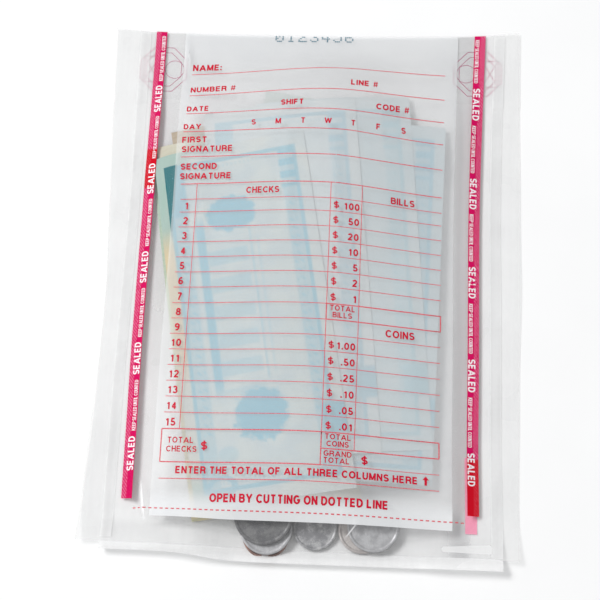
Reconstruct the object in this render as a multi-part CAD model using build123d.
from build123d import *
import os
from math import cos, radians, sin, tan

# Cash deposit bag: a clear film pouch, sealed and filled, lying on its back.
# Frame: +X to the right across the form, +Y towards the folded top, +Z up through the bulge.
# The origin is at the middle of the footprint, on the surface that the bag rests on.

# ---- Driving dimensions, mm ----
LENGTH = 231.6             # top fold to bottom fold
BACK_WIDTH = 178.0         # the back ply, with its free side margins
POUCH_WIDTH = 163.0        # the front ply, over its side welds
FILM = 0.25                # thickness that stands for the film
CLEARANCE = 0.30           # gap between pieces that move apart
INK = 0.10                 # thickness that stands for a printed layer

BULGE_HEIGHT = 14.0        # top of the front ply above the surface
SIDE_SLOPE = radians(50)   # fall of the front ply to its side welds
TOP_SLOPE = radians(30)    # fall towards the top fold
BOTTOM_SLOPE = radians(75)  # fall over the coins to the bottom fold

WELD_WIDTH = 5.0
HEM_DEPTH = 13.0           # lap of the front ply behind the back ply's bottom edge
BACK_SHORTFALL = 4.5       # bottom fold to the back ply's bottom edge
FLAP_DEPTH = 32.0
ADHESIVE_DEPTH = 20.0
ADHESIVE_EDGE = 5.0        # bare film between the adhesive and the flap's free edge
RAMP = 3.0                 # run over which the back ply steps up over the flap or hem

PANEL_WIDTH = 122.0
PANEL_ABOVE_FOLD = 14.3    # bottom fold to the panel's bottom edge
STRIP_WIDTH = 4.8
STRIP_CENTRE = 70.7
LEFT_STRIP_ABOVE_FOLD = 21.0
RIGHT_STRIP_ABOVE_FOLD = 20.5
MARK_WIDTH = 4.8
LEFT_MARK = (39.0, 57.0)   # y span of each registration mark
RIGHT_MARK = (-98.8, -71.5)

PAPER = 0.30               # thickness that stands for a sheet with its creases
BANKNOTE = (66.3, 156.0)
CHECK = (70.0, 152.4)
DEPOSIT_SLIP = (76.0, 150.0)

QUARTER = (24.26, 1.75)    # diameter, thickness
NICKEL = (21.21, 1.95)
PENNY = (19.05, 1.52)
DIME = (17.91, 1.35)
RIM_WIDTH = 0.9
RIM_HEIGHT = 0.12

# ---- Worked-out levels and edges ----
TOP = LENGTH / 2
BOTTOM = -LENGTH / 2
BAG_TOP = TOP - CLEARANCE              # the bag's own film stops short of the hinge line
HEM_LEVEL = FILM                       # back ply's underside over the hem
FLAP_LEVEL = FILM + INK + CLEARANCE    # back ply's underside over the flap
FLAP_EDGE = TOP - FLAP_DEPTH
HEM_EDGE = BOTTOM + HEM_DEPTH
BACK_BOTTOM = BOTTOM + BACK_SHORTFALL
WELD_INNER = POUCH_WIDTH / 2 - WELD_WIDTH
CONTENTS_LEVEL = HEM_LEVEL + FILM + CLEARANCE + 0.05
SHEET_PITCH = PAPER + CLEARANCE + 0.17
COIN_LEVEL = CONTENTS_LEVEL + PAPER + CLEARANCE   # the lowest sheet reaches under the coins

# Foot lines, where each slope of the front ply would meet the surface.
SIDE_FOOT = WELD_INNER + FILM / tan(SIDE_SLOPE)
TOP_FOOT = BAG_TOP + (FLAP_LEVEL + 2 * FILM) / tan(TOP_SLOPE)
BOTTOM_FOOT = BOTTOM


def block(x_span, y_span, z_span):
    """A box between two corners."""
    size = [span[1] - span[0] for span in (x_span, y_span, z_span)]
    centre = [(span[1] + span[0]) / 2 for span in (x_span, y_span, z_span)]
    return Pos(*centre) * Box(*size)


def long_profile(points, width):
    """A side profile of (y, z) points, extruded across the bag."""
    outline = Plane.YZ * Polyline(*[(y, z) for y, z in points], close=True)
    return extrude(make_face(outline), amount=width / 2, both=True)


def back_line(height):
    """The back ply's long line at a height over its underside, from bottom to top."""
    return [
        (BACK_BOTTOM, HEM_LEVEL + height),
        (HEM_EDGE + CLEARANCE, HEM_LEVEL + height),
        (HEM_EDGE + CLEARANCE + RAMP, height),
        (FLAP_EDGE - CLEARANCE - RAMP, height),
        (FLAP_EDGE - CLEARANCE, FLAP_LEVEL + height),
        (BAG_TOP, FLAP_LEVEL + height),
    ]


def bulge(offset):
    """The hip-roofed solid under the front ply, grown by offset square to each face."""
    top_z = BULGE_HEIGHT + offset

    def section(z):
        half_width = SIDE_FOOT + offset / sin(SIDE_SLOPE) - z / tan(SIDE_SLOPE)
        high = TOP_FOOT + offset / sin(TOP_SLOPE) - z / tan(TOP_SLOPE)
        low = BOTTOM_FOOT - offset / sin(BOTTOM_SLOPE) + z / tan(BOTTOM_SLOPE)
        middle = (high + low) / 2
        return Pos(0, middle, z) * Rectangle(2 * half_width, high - low)

    return loft([section(0), section(top_z)], ruled=True)


def below_front_ply():
    """Everything under the surface that the front ply's rim stands on."""
    line = [(BOTTOM - 5, HEM_LEVEL), (BACK_BOTTOM, HEM_LEVEL)] + back_line(FILM)
    line += [(TOP + 20, FLAP_LEVEL + FILM), (TOP + 20, -5), (BOTTOM - 5, -5)]
    return long_profile(line, 2 * BACK_WIDTH)


def back_ply():
    """Wide film, flat on the surface, stepped up over the hem and the folded flap."""
    return long_profile(back_line(0) + back_line(FILM)[::-1], BACK_WIDTH)


def front_ply():
    """Bulged film over the contents, open below where it meets the back ply."""
    shell = bulge(0) - bulge(-FILM) - below_front_ply()
    return shell & block((-BACK_WIDTH, BACK_WIDTH), (BOTTOM, BAG_TOP), (0, 2 * BULGE_HEIGHT))


def bottom_hem():
    """The front ply's end, turned under at the bottom fold and welded on behind."""
    return block((-POUCH_WIDTH / 2, POUCH_WIDTH / 2), (BOTTOM, HEM_EDGE), (0, FILM))


def side_weld(side):
    """The fused band outside the bulge, on the back ply."""
    line = [(BACK_BOTTOM, HEM_LEVEL + FILM)] + back_line(FILM)[1:]
    upper = [(y, z + FILM) for y, z in line]
    band = long_profile(line + upper[::-1], POUCH_WIDTH)
    outer = side * POUCH_WIDTH / 2
    inner = side * (WELD_INNER - FILM - 2 * FLAP_LEVEL)
    edges = (min(outer, inner), max(outer, inner))
    return (band & block(edges, (BOTTOM, TOP), (0, BULGE_HEIGHT))) - bulge(0)


def printed_layer(x_span, y_span):
    """A printed layer over part of the front ply's outer face."""
    skin = bulge(INK) - bulge(0) - below_front_ply()
    return skin & block(x_span, y_span, (0, 2 * BULGE_HEIGHT))


def write_on_panel():
    """White block for writing, from the top fold down."""
    return printed_layer((-PANEL_WIDTH / 2, PANEL_WIDTH / 2), (BOTTOM + PANEL_ABOVE_FOLD, BAG_TOP))


def seal_strip(side, above_fold):
    """Red tamper-evident strip that runs down beside the panel."""
    centre = side * STRIP_CENTRE
    edges = (centre - STRIP_WIDTH / 2, centre + STRIP_WIDTH / 2)
    return printed_layer(edges, (BOTTOM + above_fold, BAG_TOP))


def registration_mark(side, y_span):
    """Solid red mark printed on the inner face of the back ply."""
    centre = side * STRIP_CENTRE
    return block((centre - MARK_WIDTH / 2, centre + MARK_WIDTH / 2), y_span, (FILM, FILM + INK))


def closure_flap():
    """End of the front ply, folded down behind the bag."""
    return block((-POUCH_WIDTH / 2, POUCH_WIDTH / 2), (FLAP_EDGE, TOP), (0, FILM))


def flap_adhesive():
    """Adhesive band that holds the flap to the back ply."""
    low = FLAP_EDGE + ADHESIVE_EDGE
    half_width = POUCH_WIDTH / 2 - ADHESIVE_EDGE
    return block((-half_width, half_width), (low, low + ADHESIVE_DEPTH), (FILM, FILM + INK))


def paper_sheet(size, centre, turn, level):
    """A flat sheet, turned by degrees in plan, on its level of the pile."""
    width, length = size
    z = CONTENTS_LEVEL + level * SHEET_PITCH + PAPER / 2
    return Pos(centre[0], centre[1], z) * Rot(0, 0, turn) * Box(width, length, PAPER)


def coin(size, centre, lift):
    """A disc with a raised rim on both faces; lift is the height of what lies under it."""
    diameter, thickness = size
    disc = Cylinder(diameter / 2, thickness)
    recess = Cylinder(diameter / 2 - RIM_WIDTH, RIM_HEIGHT)
    for end in (-1, 1):
        disc -= Pos(0, 0, end * (thickness - RIM_HEIGHT) / 2) * recess
    return Pos(centre[0], BOTTOM + centre[1], COIN_LEVEL + lift + thickness / 2) * disc


# Sheets in the pouch: size, centre in plan, turn in degrees, level from the bottom of the pile.
PAPERS = {
    "check_2": (CHECK, (-22.5, -21.0), 10.0, 0),
    "deposit_slip": (DEPOSIT_SLIP, (10.0, -5.0), 2.0, 1),
    "banknote_5": (BANKNOTE, (-2.0, 6.0), -9.0, 2),
    "check_3": (CHECK, (-12.3, 1.2), 13.0, 3),
    "check_1": (CHECK, (-21.6, -8.4), 10.0, 4),
    "banknote_4": (BANKNOTE, (22.0, -6.0), -1.0, 5),
    "banknote_3": (BANKNOTE, (14.0, 5.0), 5.0, 6),
    "banknote_2": (BANKNOTE, (-8.0, 2.0), 6.0, 7),
    "banknote_1": (BANKNOTE, (-23.2, -16.4), 10.5, 8),
}

# Loose coins: size, (across, above the bottom fold), height of what lies under each.
COINS = {
    "penny_1": (PENNY, (-13.0, 11.0), 0.0),
    "nickel_1": (NICKEL, (-12.8, 12.7), PENNY[1]),
    "quarter_1": (QUARTER, (-14.0, 17.0), PENNY[1] + NICKEL[1]),
    "dime_1": (DIME, (6.9, 12.9), 0.0),
    "penny_2": (PENNY, (26.0, 12.8), 0.0),
    "nickel_2": (NICKEL, (30.6, 14.4), PENNY[1]),
}


def all_parts():
    """Every node's name and solid."""
    parts = {
        "back_ply": back_ply(),
        "front_ply": front_ply(),
        "bottom_hem": bottom_hem(),
        "left_side_weld": side_weld(-1),
        "right_side_weld": side_weld(1),
        "write_on_panel": write_on_panel(),
        "left_seal_strip": seal_strip(-1, LEFT_STRIP_ABOVE_FOLD),
        "right_seal_strip": seal_strip(1, RIGHT_STRIP_ABOVE_FOLD),
        "left_registration_mark": registration_mark(-1, LEFT_MARK),
        "right_registration_mark": registration_mark(1, RIGHT_MARK),
        "closure_flap": closure_flap(),
        "flap_adhesive": flap_adhesive(),
    }
    for name, (size, centre, turn, level) in PAPERS.items():
        parts[name] = paper_sheet(size, centre, turn, level)
    for name, (size, centre, lift) in COINS.items():
        parts[name] = coin(size, centre, lift)
    return parts


os.makedirs("parts", exist_ok=True)
for node, solid in all_parts().items():
    export_step(solid, f"parts/{node}.step")
